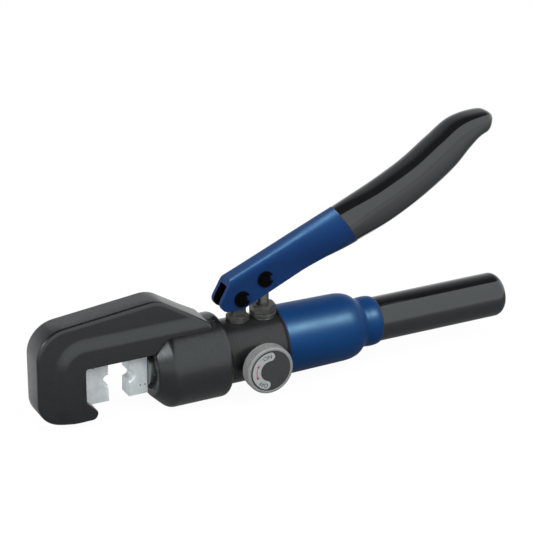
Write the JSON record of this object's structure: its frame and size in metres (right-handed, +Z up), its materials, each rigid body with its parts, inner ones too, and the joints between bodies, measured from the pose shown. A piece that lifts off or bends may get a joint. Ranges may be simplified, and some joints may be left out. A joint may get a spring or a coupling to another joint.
{
  "type": "hydraulic crimping tool",
  "caption": "Hand pumped hydraulic crimping tool: a C shaped head presses a moving die towards a fixed die when the pump lever is worked, and a side knob releases the pressure.",
  "frame": {"origin": "middle of the fixed handle's grip, on the tool axis", "axes": "+X along the tool axis away from the head, -Y towards the release knob's face, +Z up towards the pump lever"},
  "size_m": [0.3323, 0.0625, 0.1613],
  "materials": {
    "head_paint": "satin black paint on a casting",
    "die_steel": "zinc plated, ground faces",
    "black_steel": "blackened, satin",
    "bright_steel": "turned, bright",
    "blue_paint": "glossy blue paint",
    "grip_plastic": "smooth black sleeve",
    "seal_rubber": "matt black rubber",
    "backup_plastic": "pale, plain",
    "knob_metal": "knurled, matt",
    "disc_plastic": "dark grey face",
    "label_foil": "printed foil",
    "filter_brass": "sintered"
  },
  "bodies": {
    "tool_body": {"head_frame": "head_paint", "fixed_die": "die_steel", "pump_body": "black_steel", "plunger_gland": "black_steel", "fulcrum_stud": "black_steel", "head_lock_screw": "black_steel", "relief_screw": "black_steel", "spindle_gland": "black_steel", "gland_washer": "bright_steel", "fixed_die_pin": "bright_steel", "spring_bolt": "bright_steel", "return_spring": "bright_steel", "suction_spring": "bright_steel", "suction_seat": "bright_steel", "discharge_spring": "bright_steel", "discharge_screw": "bright_steel", "relief_spring": "bright_steel", "bladder_clamp": "bright_steel", "handle_tube": "bright_steel", "handle_plug": "bright_steel", "reservoir_housing": "blue_paint", "handle_grip": "grip_plastic", "wiper_ring": "seal_rubber", "head_o_ring": "seal_rubber", "plunger_seal": "seal_rubber", "spindle_o_ring": "seal_rubber", "housing_o_ring": "seal_rubber", "oil_bladder": "seal_rubber", "suction_filter": "filter_brass"},
    "ram": {"ram": "bright_steel", "ram_seal": "seal_rubber", "ram_backup_ring": "backup_plastic", "ram_plug": "bright_steel", "moving_die": "die_steel", "moving_die_pin": "bright_steel"},
    "lever": {"lever_channel": "blue_paint", "lever_core": "bright_steel", "lever_grip": "grip_plastic", "fulcrum_pin": "black_steel", "plunger_pin": "black_steel", "pin_clips": "black_steel"},
    "plunger": {"pump_plunger": "bright_steel"},
    "release_valve": {"release_spindle": "bright_steel", "release_knob": "knob_metal", "knob_disc": "disc_plastic", "knob_scale": "label_foil", "knob_grub_screw": "black_steel"},
    "suction_valve": {"suction_ball": "bright_steel"},
    "discharge_valve": {"discharge_ball": "bright_steel"},
    "relief_valve": {"relief_ball": "bright_steel"}
  },
  "joints": [
    {"name": "lever_swing", "type": "hinge", "parent": "tool_body", "child": "lever", "pos_m": [-0.1416, 0, 0.0376], "axis": [0, 1, 0], "range_deg": [0, 25]},
    {"name": "plunger_slide", "type": "slide", "parent": "tool_body", "child": "plunger", "axis": [0, 0, -1], "range_m": [0, 0.00795]},
    {"name": "ram_slide", "type": "slide", "parent": "tool_body", "child": "ram", "axis": [-1, 0, 0], "range_m": [0, 0.013], "stiffness_N_per_m": 1500, "springref_m": -0.004, "deforming": ["return_spring"]},
    {"name": "knob_turn", "type": "hinge", "parent": "tool_body", "child": "release_valve", "pos_m": [-0.1351, 0, -0.0017], "axis": [0, -1, 0], "range_deg": [0, 120]},
    {"name": "suction_lift", "type": "slide", "parent": "tool_body", "child": "suction_valve", "axis": [-1, 0, 0], "range_m": [0, 0.0008], "stiffness_N_per_m": 200, "springref_m": -0.002, "deforming": ["suction_spring"]},
    {"name": "discharge_lift", "type": "slide", "parent": "tool_body", "child": "discharge_valve", "axis": [-1, 0, 0], "range_m": [0, 0.0008], "stiffness_N_per_m": 200, "springref_m": -0.002, "deforming": ["discharge_spring"]},
    {"name": "relief_lift", "type": "slide", "parent": "tool_body", "child": "relief_valve", "axis": [0, 1, 0], "range_m": [0, 0.0008], "stiffness_N_per_m": 500, "springref_m": -0.002, "deforming": ["relief_spring"]}
  ],
  "couplings": [
    {"joint": "plunger_slide", "follows": "lever_swing", "m_per_rad": 0.01805}
  ]
}
